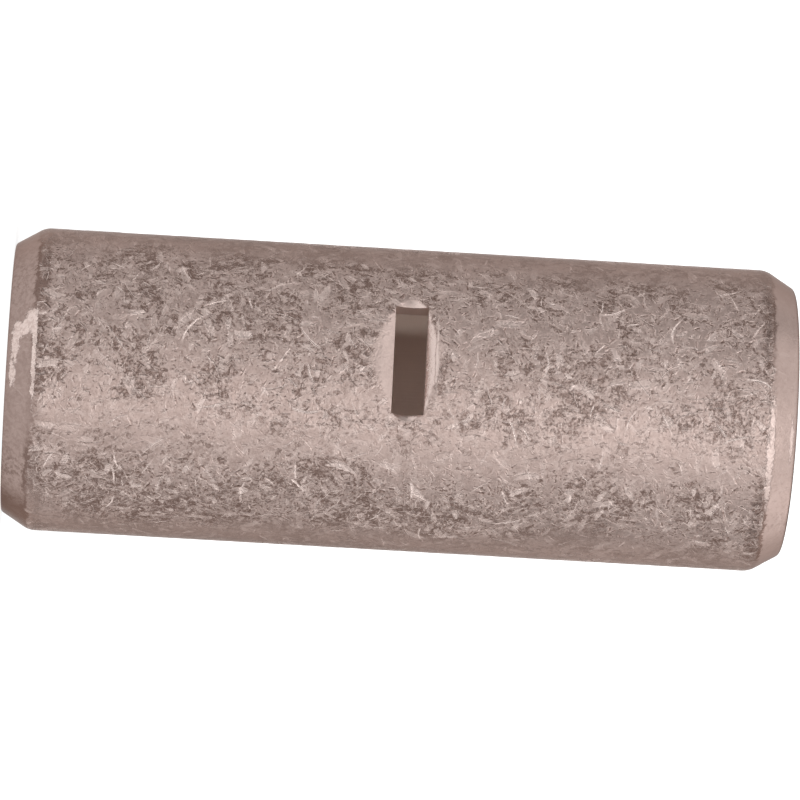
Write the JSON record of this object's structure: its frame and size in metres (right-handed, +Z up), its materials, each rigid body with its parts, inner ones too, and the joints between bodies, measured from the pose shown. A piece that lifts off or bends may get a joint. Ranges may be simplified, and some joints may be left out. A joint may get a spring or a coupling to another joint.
{
  "type": "compression splice",
  "caption": "Straight tin-plated copper tube with chamfered ends and a punched inspection window at mid-length, crimped to join stranded conductors end to end.",
  "frame": {"origin": "centre of the lower end face, on the tube's axis", "axes": "+Z up along the tube's axis, -Y out through the middle of the window, +X across the barrel"},
  "size_m": [0.0172, 0.0172, 0.0444],
  "materials": {
    "tinned_copper": "satin"
  },
  "bodies": {
    "root": {"splice_body": "tinned_copper"}
  },
  "joints": []
}
